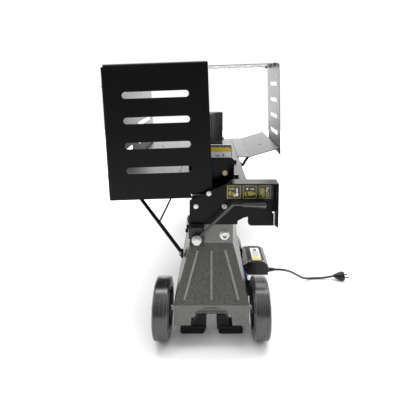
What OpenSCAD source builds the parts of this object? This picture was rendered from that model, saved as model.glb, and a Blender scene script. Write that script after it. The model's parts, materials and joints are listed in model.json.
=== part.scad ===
// Electric log splitter: horizontal beam on a wheeled stand, with a slotted guard.
// Millimetres. +Y runs along the beam from the wheeled end, +Z is up, the floor is z = 0.

/* [Beam] */
// Length of the box beam
beam_len = 1057; // [1040:1:1060]
// Width of the box beam
beam_w = 120; // [116:1:124]
// Height of the deck's top face above the floor
deck_z = 445; // [440:1:450]
// Half of the deck plate's width
deck_half = 123; // [118:1:126]
// Thickness of the deck plate
deck_t = 6; // [5:1:7]

/* [Ram] */
// Travel of the pusher
ram_stroke = 355; // [200:5:355]
// Height of the pusher's top edge above the deck
pusher_h = 98; // [70:1:98]
// Outer radius of the moving cylinder
barrel_r = 37; // [34:0.5:37]
// Radius of the fixed piston rod
rod_r = 15; // [12:1:18]

/* [Wedge] */
// Height of the wedge above the deck
wedge_h = 171; // [140:1:190]
// Half width across the wedge's cheeks
wedge_half = 64; // [50:1:64]

/* [Guard] */
// Half width of the guard, to the outer faces of its side panels
guard_half = 314; // [300:1:316]
// Sideways lean of the bolted guard, in degrees
guard_lean = 2; // [0:0.5:3]
// Top of the side panels above the floor
guard_top = 855; // [820:1:880]
// Distance from one ventilation slot to the next
slot_pitch = 76.6; // [70:0.1:78]
// Length of the front panel's slots
slot_len = 200; // [150:5:220]
// Height of each slot
slot_w = 20; // [12:1:24]
// Thickness of the panels
sheet_t = 2; // [1.5:0.5:3]

/* [Stand] */
// Radius of the wheels
wheel_r = 90; // [80:1:90]
// Width of the tyres
tyre_w = 46; // [42:1:50]
// Distance from the centre plane to the middle of each wheel
wheel_x = 149; // [148:0.5:152]
// Radius of the axle
axle_r = 8; // [7:0.5:9]

/* [Motor] */
// Radius over the motor's cooling fins
motor_r = 60; // [56:1:62]
// Sideways offset of the motor's axis
motor_x = 70; // [66:1:72]
// Height of the motor's axis above the floor
motor_z = 80; // [76:1:90]

/* [Lever] */
// Radius of the lever's rod
lever_r = 4; // [3:0.5:5]
// Radius of the lever's grip at its free end
grip_r = 11; // [8:0.5:12]

/* [Hidden] */
$fn = 64;

black = [0.13, 0.13, 0.13];
grey = [0.42, 0.43, 0.42];
steel = [0.75, 0.76, 0.78];

// Beam and deck
beam_y0 = -472;
beam_y1 = beam_y0 + beam_len;
beam_h = 90;
beam_wall = 5;
beam_top = deck_z - deck_t;
beam_low = beam_top - beam_h;
beam_mid_z = beam_top - beam_h / 2;
deck_y0 = -467;
end_plate_t = 12;
slide_slot_w = 24;
slide_slot_y0 = -240;

// Pusher, at rest against the oil tank
pusher_y0 = -235;
pusher_y1 = -175;
pusher_half = 76;
slide_gap = 0.4;
foot_y0 = -230;
foot_y1 = -180;
foot_half = 10;
slide_slot_y1 = foot_y1 + ram_stroke + 15;

// Cylinder: the barrel moves along a piston that is fixed to the near end plate
barrel_y0 = -440;
gland_len = 35;
piston_len = 30;
piston_far = -17;
barrel_bore = barrel_r - 7;
barrel_y1 = 10;
cap_t = 25;

// Oil tank on the deck
tank_y0 = -415;
tank_y1 = -245;
tank_half = 71;
tank_h = 96;
tank_far_h = 55;

// Wedge
wedge_y0 = 335;
wedge_len = 150;
flank_r = 181;

// Trays and guard
tray_in = 119;
tray_bend = 173;
tray_out = 309;
tray_t = 3;
tray_lip = 24;
wing_z = 474;
left_tray_y0 = -466;
right_tray_y0 = 49;
tray_y1 = 585;
wall_low = deck_z - 1;
wall_y0 = -453;
wall_seam = -68;
wall_y1 = 370;
slot_margin = 60;
slot_low = 521.6;
wall_slot_low = 536.6;
flange = 25;
bend_r = 3;
panel_y = -471;
panel_x0 = -316.4;
panel_x1 = 3;
panel_low = 430;
panel_top = guard_top - 10;
near_wall_top = panel_top - 1;
panel_bend_r = 8;

// Front leg: [z, front y, back y, half width in front, half width behind]
leg_t = 3;
leg_back = -410;
leg_rows = [
    [67, -555, leg_back, 111.5, 111.5],
    [130, -555, leg_back, 111.5, 111.5],
    [290, -485, leg_back, 66, 83],
    [beam_low, -485, leg_back, 66, 78]];
axle_y = -503;
axle_z = wheel_r;
arch_half = 62;
arch_h = 58;
rim_r = 60;

// Motor, pump and switch box
bracket_y = -355;
motor_y0 = -345;
motor_y1 = -100;
shaft_r = 9;
gear_teeth = 12;
gear_pitch_r = 15;
gear_y = -400;
gear_t = 18;
box_x0 = 105;
box_x1 = 205;
box_y0 = -315;
box_y1 = -185;
box_low = 87;
lid_low = 121;
lid_top = 135;
button_ys = [-262, -232];
button_z = 104;

// Lever, pivoting on the valve in front of the leg's collar
collar_y = -485;
pivot_x = -44;
pivot_z = 316;
lever_y = -517;
lever_elbow = [64, lever_y, 423];
grip_x0 = 90;
grip_x1 = 163;
spool_z = pivot_z - 13;
spool_y = -497;
spool_r = 5;

// Lever guard
guard_plate_y = -487;
guard_plate_t = 3;
guard_hood = 47;
guard_x1 = 195;
guard_z0 = 346;
guard_z1 = 491;

// Where the bolts are
deck_bolt_at = [[88, -297], [97, -55]];
top_bolt_ys = [85, 210, 335];
lip_bolt_z = 460;
left_near_lip_ys = [-420, -110];
left_far_lip_ys = [-20, 210, 335];
panel_bolt_zs = [500, 640, 780];
panel_bolt_y = -447;
lever_bolt_at = [[-8, 447], [-47, 407], [39, 407]];
foot_bolt_ys = [-216, -194];
bracket_ys = [55, 500];
wing_hole_x = 247;
wing_hole_y = 245;

// Mains lead: where it leaves the gland, then along the floor to its plug
cord_r = 4;
cord_points = [
    [231, -300, 100], [245, -299.2, 99.3], [259, -295.5, 96.2], [273, -288.5, 90.4], [287, -278.5, 82],
    [301, -266, 71], [316, -252.5, 57.5], [332, -238, 42], [348, -224, 27], [365, -211.5, 15],
    [383, -201.5, 7.6], [402, -195, 4.6], [421, -193, 4.2], [440, -194, 5.6], [457, -196.5, 9],
    [472, -198.5, 13], [487, -200, 17]];
cord_sides = 8;

// ---- Helpers -------------------------------------------------------------------------------

// A block from its two corners
module block(x, y, z) {
    translate([x[0], y[0], z[0]]) cube([x[1] - x[0], y[1] - y[0], z[1] - z[0]]);
}

// An outline drawn in X and Z, extruded along +Y from y0
module along_y(y0, len) {
    translate([0, y0 + len, 0]) rotate([90, 0, 0]) linear_extrude(len) children();
}

// An outline drawn in Y and Z, extruded along +X from x0
module along_x(x0, len) {
    translate([x0, 0, 0]) rotate([90, 0, 90]) linear_extrude(len) children();
}

// A round bar between two points
module bar(a, b, r) {
    v = b - a;
    translate(a) rotate([0, acos(v.z / norm(v)), atan2(v.y, v.x)]) cylinder(r = r, h = norm(v));
}

// A cylinder along +X or +Y
module cyl_x(at, r, len) {
    translate(at) rotate([0, 90, 0]) cylinder(r = r, h = len);
}
module cyl_y(at, r, len) {
    translate(at) rotate([-90, 0, 0]) cylinder(r = r, h = len);
}

// A round-ended slot, centred, long in X
module slot_2d(len, w) {
    square([len - w, w], center = true);
    for (s = [-1, 1]) translate([s * (len - w) / 2, 0]) circle(d = w);
}

// A rectangle with rounded corners
module rounded_2d(a, b, r) {
    square([a - 2 * r, b], center = true);
    square([a, b - 2 * r], center = true);
    for (s = [-1, 1], t = [-1, 1]) translate([s * (a / 2 - r), t * (b / 2 - r)]) circle(r = r);
}

// A hex head on a washer, standing on +Z
module hex_head(flats, h, washer_r, washer_t) {
    cylinder(r = washer_r, h = washer_t);
    translate([0, 0, washer_t]) cylinder(d = flats / cos(30), h = h, $fn = 6);
}

// A hex bolt that stands on the deck, with its shank in the plate below
module deck_bolt(at, depth) {
    translate(at) {
        hex_head(16, 10, 11, 1.5);
        translate([0, 0, -depth]) cylinder(r = 4.5, h = depth + 0.5);
    }
}

// The bolted guard leans sideways about the deck
module leaning() {
    translate([0, 0, deck_z]) rotate([0, -guard_lean, 0]) translate([0, 0, -deck_z]) children();
}

// A closed solid through rows of [z, front y, back y, front half width, back half width]
module lofted(rows) {
    points = [for (r = rows)
        each [[-r[3], r[1], r[0]], [r[3], r[1], r[0]], [r[4], r[2], r[0]], [-r[4], r[2], r[0]]]];
    top = 4 * (len(rows) - 1);
    sides = [for (k = [0 : len(rows) - 2], i = [0 : 3])
        let (a = 4 * k + i, b = 4 * k + (i + 1) % 4)
        each [[a, a + 4, b + 4], [a, b + 4, b]]];
    polyhedron(points, concat([[0, 1, 2, 3], [top + 3, top + 2, top + 1, top]], sides));
}

// An upright sheet bent over at the top: the outer corner is at [0, h]
module bent_2d(w, h, t, r) {
    square([t, h - r]);
    translate([r, h - t]) square([w - r, t]);
    translate([r, h - r]) intersection() {
        difference() {
            circle(r = r);
            circle(r = r - t);
        }
        translate([-r, 0]) square(r);
    }
}

// ---- Beam and cylinder ---------------------------------------------------------------------

module slide_slot(z0, z1) {
    block([-slide_slot_w / 2, slide_slot_w / 2], [slide_slot_y0, slide_slot_y1], [z0, z1]);
}

module main_beam() {
    half = beam_w / 2;
    color(grey) difference() {
        block([-half, half], [beam_y0, beam_y1], [beam_low, beam_top]);
        block([-half + beam_wall, half - beam_wall], [beam_y0 - 1, beam_y1 + 1],
            [beam_low + beam_wall, beam_top - beam_wall]);
        slide_slot(beam_top - beam_wall - 1, beam_top + 1);
    }
}

module deck_plate() {
    color(black) difference() {
        block([-deck_half, deck_half], [deck_y0, beam_y1], [beam_top, deck_z]);
        slide_slot(beam_top - 1, deck_z + 1);
        for (b = deck_bolt_at) translate([b.x, b.y, beam_top - 1]) cylinder(r = 4.5, h = deck_t + 2);
    }
}

module front_end_plate() {
    half = beam_w / 2 + 2;
    color(black) difference() {
        along_y(beam_y0 - end_plate_t, end_plate_t)
            polygon([[-half, beam_low + 0.5], [half, beam_low + 0.5], [half, 470], [44, 470],
                [-half, 420]]);
        cyl_y([0, beam_y0 - end_plate_t - 1, beam_mid_z], 10, end_plate_t + 2);
        for (b = lever_bolt_at) cyl_y([b.x, beam_y0 - end_plate_t - 1, b.y], 4, end_plate_t + 2);
    }
}

module rear_end_plate() {
    color(black) block([-75, 75], [beam_y1, beam_y1 + end_plate_t], [beam_low - 8, deck_z + 8]);
}

module piston_rod() {
    near = beam_y0 - end_plate_t;
    piston_near = piston_far - piston_len;
    color(steel) {
        cyl_y([0, near, beam_mid_z], 10, piston_far - near);
        cyl_y([0, beam_y0, beam_mid_z], rod_r, piston_near - beam_y0);
    }
}

module piston() {
    color(steel) difference() {
        cyl_y([0, piston_far - piston_len, beam_mid_z], barrel_bore - 0.05, piston_len);
        cyl_y([0, piston_far - piston_len - 1, beam_mid_z], 10, piston_len + 2);
        for (d = [8, 20]) translate([0, piston_far - d, beam_mid_z]) rotate([-90, 0, 0])
            difference() {
                cylinder(r = barrel_bore + 1, h = 3);
                translate([0, 0, -1]) cylinder(r = barrel_bore - 2, h = 5);
            }
    }
}

module cylinder_barrel() {
    bore_y0 = barrel_y0 + gland_len;
    color(grey) difference() {
        cyl_y([0, bore_y0, beam_mid_z], barrel_r, barrel_y1 - bore_y0);
        cyl_y([0, bore_y0 - 1, beam_mid_z], barrel_bore, barrel_y1 - cap_t - bore_y0 + 1);
    }
}

module cylinder_gland() {
    color(steel) difference() {
        cyl_y([0, barrel_y0, beam_mid_z], barrel_r - 1, gland_len);
        cyl_y([0, barrel_y0 - 1, beam_mid_z], rod_r + 0.05, gland_len + 2);
    }
}

// ---- Pusher --------------------------------------------------------------------------------

module pusher_block() {
    low = deck_z + slide_gap;
    high = deck_z + pusher_h;
    color(black) difference() {
        union() {
            block([-pusher_half, pusher_half], [pusher_y0, pusher_y1], [low, low + 12]);
            block([-pusher_half, pusher_half], [pusher_y0, pusher_y0 + 6], [low, high]);
            block([-pusher_half, pusher_half], [pusher_y1 - 14, pusher_y1], [low, high]);
            for (x = [-pusher_half, -4, pusher_half - 8])
                block([x, x + 8], [pusher_y0, pusher_y1], [low + (x == -4 ? 40 : 0), high - 12]);
            for (x = [-50, -25, 0, 25, 50])
                block([x - 3, x + 3], [pusher_y1 - 1, pusher_y1 + 4], [low + 8, high - 6]);
        }
        for (y = foot_bolt_ys) translate([0, y, low - 1]) cylinder(r = 4, h = 20);
    }
}

module pusher_foot() {
    color(grey) difference() {
        block([-foot_half, foot_half], [foot_y0, foot_y1], [beam_mid_z + 30, deck_z + slide_gap]);
        cyl_y([0, foot_y0 - 1, beam_mid_z], barrel_r, foot_y1 - foot_y0 + 2);
        for (y = foot_bolt_ys) translate([0, y, deck_z - 12]) cylinder(r = 4, h = 20);
    }
}

module pusher_keeper() {
    high = beam_top - beam_wall - 0.6;
    color(steel) difference() {
        for (s = [-1, 1])
            block([s > 0 ? foot_half : -27, s > 0 ? 27 : -foot_half], [foot_y0, foot_y1], [high - 7, high]);
        cyl_y([0, foot_y0 - 1, beam_mid_z], barrel_r + 0.3, foot_y1 - foot_y0 + 2);
    }
}

module pusher_bolts() {
    floor_z = deck_z + slide_gap + 12;
    color(steel) for (y = foot_bolt_ys) translate([0, y, floor_z]) {
        hex_head(13, 8, 8, 1.5);
        translate([0, 0, deck_z - 12 - floor_z]) cylinder(r = 4, h = floor_z - deck_z + 12.5);
    }
}

module pusher_label() {
    color("ivory") block([-pusher_half + 2, pusher_half - 2], [pusher_y0 - 0.8, pusher_y0],
        [deck_z + 10, deck_z + pusher_h - 3]);
}

// ---- Oil tank, wedge -----------------------------------------------------------------------

// A box outline with its two upper corners rounded
module rounded_top_2d(half, h, r) {
    translate([-half, 0]) square([2 * half, h - r]);
    translate([-half + r, 0]) square([2 * (half - r), h]);
    for (s = [-1, 1]) translate([s * (half - r), h - r]) circle(r = r);
}

// The tank's outline all round, drawn in by a wall thickness: its top slopes down to the far end
module tank_form(inset) {
    intersection() {
        along_y(tank_y0 + inset, tank_y1 - tank_y0 - 2 * inset)
            translate([0, inset]) rounded_top_2d(tank_half - inset, tank_h - 2 * inset, 12 - inset);
        along_x(-tank_half - 1, 2 * tank_half + 2)
            polygon([[tank_y0 - 1, -1], [tank_y1 + 1, -1], [tank_y1 + 1, tank_far_h - inset],
                [tank_y0 + 6, tank_h - inset], [tank_y0 - 1, tank_h - inset]]);
    }
}

module oil_tank() {
    wall = 4;
    color(black) translate([0, 0, deck_z]) difference() {
        tank_form(0);
        tank_form(wall);
        cyl_y([44, tank_y0 - 1, 47], 5, 6);
    }
}

module tank_fitting() {
    color("goldenrod") translate([44, tank_y0, deck_z + 47]) rotate([90, 0, 0]) {
        hex_head(13, 9, 9, 2);
        cylinder(r = 4.5, h = 16);
        translate([0, 0, -3]) cylinder(r = 5, h = 4);
    }
}

module wedge() {
    wedge_y1 = wedge_y0 + wedge_len;
    color(black) {
        translate([0, 0, deck_z]) intersection() {
            linear_extrude(wedge_h + 1) difference() {
                translate([-wedge_half, wedge_y0]) square([2 * wedge_half, wedge_len + 12]);
                for (s = [-1, 1])
                    translate([s * (flank_r + 1), wedge_y0 + 10]) circle(r = flank_r, $fn = 128);
            }
            along_y(wedge_y0 - 1, wedge_len + 14) rounded_top_2d(wedge_half, wedge_h, 9);
        }
        block([-60, 60], [wedge_y0 + 30, wedge_y1 + 60], [deck_z, deck_z + 10]);
        for (x = [-40, 32])
            along_x(x, 8) polygon([[wedge_y1 + 11, deck_z + 9], [wedge_y1 + 58, deck_z + 9],
                [wedge_y1 + 11, deck_z + 120]]);
    }
}

// ---- Trays ---------------------------------------------------------------------------------

// Height of a wing's outer edge, on the side s
function wing_edge(s) = wing_z + s * tray_out * sin(guard_lean);

module tray_2d(s) {
    edge = wing_edge(s);
    translate([tray_in, deck_z]) square([tray_bend - tray_in, tray_t]);
    polygon([[tray_bend - 0.1, deck_z], [tray_out - 1, edge], [tray_out - 1, edge + tray_t],
        [tray_bend - 0.1, deck_z + tray_t]]);
    translate([tray_out - tray_t, edge - tray_lip]) square([tray_t, tray_lip + tray_t]);
}

module tray(s, y0, lip_ys) {
    difference() {
        along_y(y0, tray_y1 - y0) mirror([s < 0 ? 1 : 0, 0]) tray_2d(s);
        translate([s * wing_hole_x, wing_hole_y, deck_z]) cylinder(r = 6, h = 60);
        leaning() for (y = lip_ys) cyl_x([s * tray_out - 15, y, lip_bolt_z], 4.2, 30);
    }
}

module left_tray() {
    color(black) tray(-1, left_tray_y0, concat(left_near_lip_ys, left_far_lip_ys));
}

module right_tray() {
    color(black) tray(1, right_tray_y0, top_bolt_ys);
}

module deck_bolts() {
    color(black) for (b = deck_bolt_at) {
        deck_bolt([b.x, b.y, deck_z], deck_t);
        translate([b.x, b.y, beam_top]) mirror([0, 0, 1]) hex_head(14, 7, 9, 1.5);
    }
}

module tray_brackets() {
    color(black) for (s = [-1, 1], y = bracket_ys)
        along_y(y, 20) mirror([s < 0 ? 1 : 0, 0])
            polygon([[108, beam_top], [118, beam_top], [142, beam_top - 28], [162, deck_z],
                [tray_bend, deck_z], [146, beam_top - 38], [138, beam_top - 38]]);
}

// ---- Guard ---------------------------------------------------------------------------------

module slots_x(x0, len, y0, y1) {
    for (i = [0 : 3])
        along_x(x0, len) translate([(y0 + y1) / 2, wall_slot_low + i * slot_pitch])
            slot_2d(y1 - y0 - 2 * slot_margin, slot_w);
}

module side_panel(s, y0, y1, top, lip_ys, top_ys, edge_zs) {
    color(black) leaning() difference() {
        along_y(y0, y1 - y0) translate([s * guard_half, wall_low]) mirror([s > 0 ? 1 : 0, 0])
            bent_2d(flange, top - wall_low, sheet_t, bend_r + sheet_t);
        slots_x(s * guard_half - 5, 10, y0, y1);
        for (y = lip_ys) cyl_x([s * guard_half - 5, y, lip_bolt_z], 3.2, 10);
        for (y = top_ys) translate([s * (guard_half - 14), y, guard_top - 5]) cylinder(r = 3.2, h = 10);
        for (z = edge_zs) cyl_x([s * guard_half - 5, panel_bolt_y, z], 3.2, 10);
    }
}

module left_near_panel() {
    side_panel(-1, wall_y0, wall_seam - 1, near_wall_top, left_near_lip_ys, [], panel_bolt_zs);
}

module left_far_panel() {
    side_panel(-1, wall_seam, wall_y1, guard_top, left_far_lip_ys, top_bolt_ys, []);
}

module right_panel() {
    side_panel(1, right_tray_y0, wall_y1, guard_top, top_bolt_ys, top_bolt_ys, []);
}

module top_panel() {
    half = guard_half - bend_r - sheet_t;
    mid = (right_tray_y0 + wall_y1) / 2;
    depth = wall_y1 - right_tray_y0;
    color(black) leaning() difference() {
        block([-half, half], [right_tray_y0, wall_y1], [guard_top, guard_top + sheet_t]);
        for (i = [0 : 7]) translate([(i - 3.5) * slot_pitch, mid, guard_top - 1]) linear_extrude(sheet_t + 2)
            rotate(90) slot_2d(depth - 2 * slot_margin, slot_w);
        for (s = [-1, 1], y = top_bolt_ys)
            translate([s * (guard_half - 14), y, guard_top - 1]) cylinder(r = 3.2, h = 5);
    }
}

// What the front panel's two free corners are cut to
module rounded_corners(r) {
    mid_x = (panel_x0 + panel_x1) / 2;
    along_y(panel_y - 5, 60) {
        translate([mid_x, (panel_low + panel_top) / 2])
            rounded_2d(panel_x1 - panel_x0, panel_top - panel_low, r);
        translate([panel_x0 - 1, panel_low + r]) square([r + 2, panel_top - panel_low - r + 1]);
    }
}

module front_guard_panel() {
    side_flange = 30;
    top_flange = 15;
    r = panel_bend_r;
    color(black) leaning() intersection() {
        rounded_corners(6);
        difference() {
            union() {
                along_x(panel_x0 + r, panel_x1 - panel_x0 - r) translate([panel_y, panel_low])
                    bent_2d(top_flange, panel_top - panel_low, sheet_t, r);
                translate([panel_x0, panel_y + side_flange, panel_low])
                    linear_extrude(panel_top - panel_low - r) mirror([0, 1])
                        bent_2d(2 * r, side_flange, sheet_t, r);
            }
            for (i = [0 : 3])
                along_y(panel_y - 5, 10) translate([(panel_x0 + panel_x1) / 2, slot_low + i * slot_pitch])
                    slot_2d(slot_len, slot_w);
            for (z = panel_bolt_zs) cyl_x([panel_x0 - 2, panel_bolt_y, z], 3.2, 6);
            block([-62, panel_x1 + 1], [panel_y - 1, panel_y + 20], [panel_low - 1, deck_z - 2]);
        }
    }
}

// A small bolt through a side panel, its head outside
module side_bolt(s, x, y, z, grip) {
    translate([s * x, y, z]) rotate([0, s * 90, 0]) {
        hex_head(10, 4.5, 6.5, 1);
        translate([0, 0, -grip]) cylinder(r = 3, h = grip + 0.5);
        translate([0, 0, -grip]) cylinder(d = 10 / cos(30), h = 4, $fn = 6);
    }
}

module guard_bolts() {
    color(steel) {
        leaning() {
            for (y = top_bolt_ys) side_bolt(1, guard_half, y, lip_bolt_z, 12);
            for (y = concat(left_near_lip_ys, left_far_lip_ys)) side_bolt(-1, guard_half, y, lip_bolt_z, 13);
            for (z = panel_bolt_zs) side_bolt(-1, -panel_x0, panel_bolt_y, z, 9);
            for (s = [-1, 1], y = top_bolt_ys) translate([s * (guard_half - 14), y, guard_top + sheet_t]) {
                hex_head(10, 4.5, 6.5, 1);
                translate([0, 0, -12]) cylinder(r = 3, h = 12.5);
                translate([0, 0, -sheet_t * 2 - 6]) cylinder(d = 12 / cos(30), h = 6, $fn = 6);
            }
        }
        for (b = lever_bolt_at) translate([b.x, guard_plate_y, b.y]) rotate([90, 0, 0]) {
            hex_head(11, 5, 7.5, 1.2);
            translate([0, 0, -13]) cylinder(r = 4, h = 13.5);
        }
    }
}

module guard_strut() {
    low = [-94, -440, 233];
    high = [-297, -315, 440];
    mid = low + (high - low) * 0.4;
    color(black) {
        bar(low, high, 6);
        block([-98, -90.6], [-449, -431], [222, 244]);
        block([-305.6, -300], [-325, -305], [430, 456]);
        bar(mid, [-116, mid.y, beam_top - 2], 3);
        block([-122, -110], [mid.y - 6, mid.y + 6], [beam_top - 4, beam_top]);
    }
}

// ---- Stand ---------------------------------------------------------------------------------

// Front face of the leg at a height on its slope
function leg_face(z) = leg_rows[2][1] - (leg_rows[2][0] - z) / (leg_rows[2][0] - leg_rows[1][0])
    * (leg_rows[2][1] - leg_rows[1][1]);

module front_leg() {
    hollow = [for (r = leg_rows) [
        r[0] == leg_rows[0][0] ? r[0] - 5 : (r[0] == beam_low ? r[0] - leg_t : r[0]),
        r[1] + leg_t, r[2] + 1, r[3] - leg_t, r[4] - leg_t]];
    color(grey) difference() {
        union() {
            difference() {
                lofted(leg_rows);
                lofted(hollow);
            }
            for (s = [-1, 0, 1])
                bar([s * 80, leg_face(145) + 1, 145], [s * 42, leg_face(270) + 1, 270], 4);
        }
        along_y(leg_rows[0][1] - 8, 20)
            polygon([for (a = [0 : 15 : 180]) [arch_half * cos(a), 67 + arch_h * pow(sin(a), 0.7)],
                [-arch_half, 60], [arch_half, 60]]);
        cyl_x([-130, axle_y, axle_z], axle_r, 260);
    }
}

module foot_bar() {
    half = leg_rows[0][3] - leg_t;
    sleeve_half = 50;
    color(grey) difference() {
        union() {
            block([-half, half], [-493, -462], [60, 84]);
            cyl_x([-sleeve_half, axle_y, axle_z], axle_r + 5, 2 * sleeve_half);
        }
        block([-half - 1, half + 1], [-489, -466], [64, 80]);
        cyl_x([-sleeve_half - 1, axle_y, axle_z], axle_r + 0.3, 2 * sleeve_half + 2);
    }
}

module rubber_pad(x, y) {
    color(black) translate([(x[0] + x[1]) / 2, (y[0] + y[1]) / 2]) {
        linear_extrude(11) rounded_2d(x[1] - x[0], y[1] - y[0], 8);
        linear_extrude(24) rounded_2d(x[1] - x[0] - 5, y[1] - y[0] - 5, 6);
    }
}

module rubber_feet() {
    for (s = [0, 1]) mirror([s, 0, 0]) {
        rubber_pad([22, 98], [-502, -455]);
        color(black) along_y(-496, 34) polygon([[17, 12], [62, 12], [44, 60], [15, 60]]);
        rubber_pad([38, 92], [505, 550]);
    }
}

module rear_leg() {
    color(grey) {
        difference() {
            along_y(500, 50) polygon([[-92, 30], [92, 30], [60, beam_low], [-60, beam_low]]);
            along_y(499, 47) polygon([[-88, 34], [88, 34], [56, beam_low - 4], [-56, beam_low - 4]]);
            along_y(540, 20) polygon([[-50, 60], [50, 60], [30, 150], [-30, 150]]);
        }
        block([-94, 94], [496, 556], [24, 30]);
    }
}

module axle() {
    color(steel) cyl_x([-wheel_x - tyre_w / 2 - 8, axle_y, axle_z], axle_r, 2 * wheel_x + tyre_w + 16);
}

module axle_caps() {
    color(steel) for (s = [-1, 1])
        translate([s * (wheel_x + tyre_w / 2 + 2), axle_y, axle_z]) rotate([0, s * 90, 0]) difference() {
            union() {
                cylinder(r = 15, h = 2);
                cylinder(r = 12, h = 10);
            }
            translate([0, 0, -1]) cylinder(r = axle_r, h = 7);
        }
}

// Ring of rubber with grooves all round its tread
module tyre() {
    shoulder = 7;
    color([0.08, 0.08, 0.08]) rotate([0, 90, 0]) difference() {
        rotate_extrude() difference() {
            translate([rim_r, -tyre_w / 2]) square([wheel_r - rim_r, tyre_w]);
            for (i = [-2.5 : 1 : 2.5]) translate([wheel_r - 2.5, i * 6 - 1]) square([5, 2]);
            for (s = [-1, 1]) translate([wheel_r - shoulder, s * (tyre_w / 2 - shoulder)]) difference() {
                translate([0, s > 0 ? 0 : -shoulder - 1]) square(shoulder + 1);
                circle(r = shoulder);
            }
        }
    }
}

module rim() {
    hub_half = tyre_w / 2 + 1.7;
    color([0.2, 0.2, 0.21]) rotate([0, 90, 0]) difference() {
        union() {
            rotate_extrude() translate([rim_r - 5, -tyre_w / 2 + 3]) square([5, tyre_w - 6]);
            rotate_extrude() translate([0, -3]) square([rim_r - 1, 6]);
            translate([0, 0, -hub_half]) cylinder(r = 17, h = 2 * hub_half);
            for (a = [0 : 60 : 300]) rotate(a) translate([14, -3, -16]) cube([rim_r - 16, 6, 32]);
        }
        translate([0, 0, -60]) cylinder(r = axle_r + 0.05, h = 120);
        for (a = [30 : 60 : 330]) rotate(a) translate([38, 0, -10]) cylinder(r = 10, h = 20);
    }
}

module left_tyre() {
    translate([-wheel_x, axle_y, axle_z]) tyre();
}
module right_tyre() {
    translate([wheel_x, axle_y, axle_z]) tyre();
}
module left_rim() {
    translate([-wheel_x, axle_y, axle_z]) rim();
}
module right_rim() {
    translate([wheel_x, axle_y, axle_z]) rim();
}

// ---- Motor, pump and switch box ------------------------------------------------------------

module on_motor_axis(y) {
    translate([motor_x, y, motor_z]) rotate([-90, 0, 0]) children();
}

module motor_bracket() {
    inner = -20;
    outer = 78;
    color(black) difference() {
        union() {
            along_y(bracket_y, 10) polygon([[inner, motor_z - 48], [motor_x + 67, motor_z - 48],
                [motor_x + 67, motor_z + 4], [motor_x + 38, motor_z + 12], [motor_x + 38, 205],
                [outer, 235], [outer, beam_low], [inner, beam_low]]);
            for (x = [inner, outer - 8]) block([x, x + 8], [bracket_y, bracket_y + 50], [200, beam_low]);
            block([inner, outer], [bracket_y, bracket_y + 60], [beam_low - 6, beam_low]);
        }
        on_motor_axis(bracket_y - 1) cylinder(r = shaft_r + 2, h = 12);
    }
}

module motor_housing() {
    len = motor_y1 - motor_y0;
    bell = 12;
    color("royalblue") on_motor_axis(motor_y0) difference() {
        union() {
            cylinder(r = motor_r - 7, h = len);
            cylinder(r = motor_r - 3, h = bell);
            translate([0, 0, len - bell]) cylinder(r = motor_r - 3, h = bell);
            for (a = [0 : 10 : 350])
                rotate(a) translate([motor_r - 9, -1.2, bell - 1]) cube([8.8, 2.4, len - 2 * bell + 2]);
        }
        translate([0, 0, bell]) cylinder(r = motor_r - 11, h = len - 2 * bell);
        translate([0, 0, -1]) cylinder(r = shaft_r + 0.05, h = len + 2);
    }
}

module fan_cover() {
    len = 52;
    color(black) on_motor_axis(motor_y1) difference() {
        union() {
            cylinder(r = motor_r - 2, h = len - 6);
            translate([0, 0, len - 6.01]) cylinder(r1 = motor_r - 2, r2 = motor_r - 10, h = 6);
        }
        translate([0, 0, -1]) cylinder(r = motor_r - 5, h = len - 4);
        for (r = [18, 30, 42]) for (a = [0 : 30 : 330]) rotate(a) translate([r, 0, 0])
            cylinder(r = 3.4, h = len + 2);
    }
}

module rotor_shaft() {
    color(steel) {
        on_motor_axis(gear_y - 12) cylinder(r = shaft_r, h = motor_y1 + 34 - gear_y + 12);
        on_motor_axis(motor_y0 + 45) cylinder(r = 38, h = 150);
    }
}

module cooling_fan() {
    color(black) on_motor_axis(motor_y1 + 6) difference() {
        union() {
            cylinder(r = 16, h = 22);
            cylinder(r = 50, h = 3);
            for (a = [0 : 45 : 315]) rotate(a) translate([14, -1.5, 0]) cube([34, 3, 20]);
        }
        translate([0, 0, -1]) cylinder(r = shaft_r, h = 30);
    }
}

// A spur gear's outline, its first tooth turned to the angle given
module gear_2d(turn) {
    root = gear_pitch_r - 2.8;
    tip = gear_pitch_r + 1.9;
    circle(r = root);
    for (i = [0 : gear_teeth - 1]) rotate(turn + i * 360 / gear_teeth)
        polygon([[root - 1, -2.4], [root + 0.4, -2.3], [gear_pitch_r, -1.6], [tip, -0.7],
            [tip, 0.7], [gear_pitch_r, 1.6], [root + 0.4, 2.3], [root - 1, 2.4]]);
}

module drive_gear() {
    color(steel) on_motor_axis(gear_y) difference() {
        linear_extrude(gear_t) gear_2d(90);
        translate([0, 0, -1]) cylinder(r = shaft_r, h = gear_t + 2);
    }
}

module driven_gear() {
    color(steel) translate([0, 0, 2 * gear_pitch_r]) {
        on_motor_axis(gear_y) linear_extrude(gear_t) gear_2d(90 + 180 / gear_teeth);
        on_motor_axis(gear_y - 10) cylinder(r = 6, h = gear_t + 20);
    }
}

module pump_body() {
    color(grey) difference() {
        block([motor_x - 35, motor_x + 31], [gear_y - 22, bracket_y], [motor_z - 35, motor_z + 67]);
        for (up = [0, 2 * gear_pitch_r]) translate([0, 0, up])
            on_motor_axis(gear_y - 1) cylinder(r = gear_pitch_r + 2.6, h = gear_t + 2);
        on_motor_axis(gear_y - 13) cylinder(r = shaft_r + 0.05, h = 80);
        translate([0, 0, 2 * gear_pitch_r]) on_motor_axis(gear_y - 11) cylinder(r = 6.05, h = gear_t + 22);
    }
}

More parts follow.
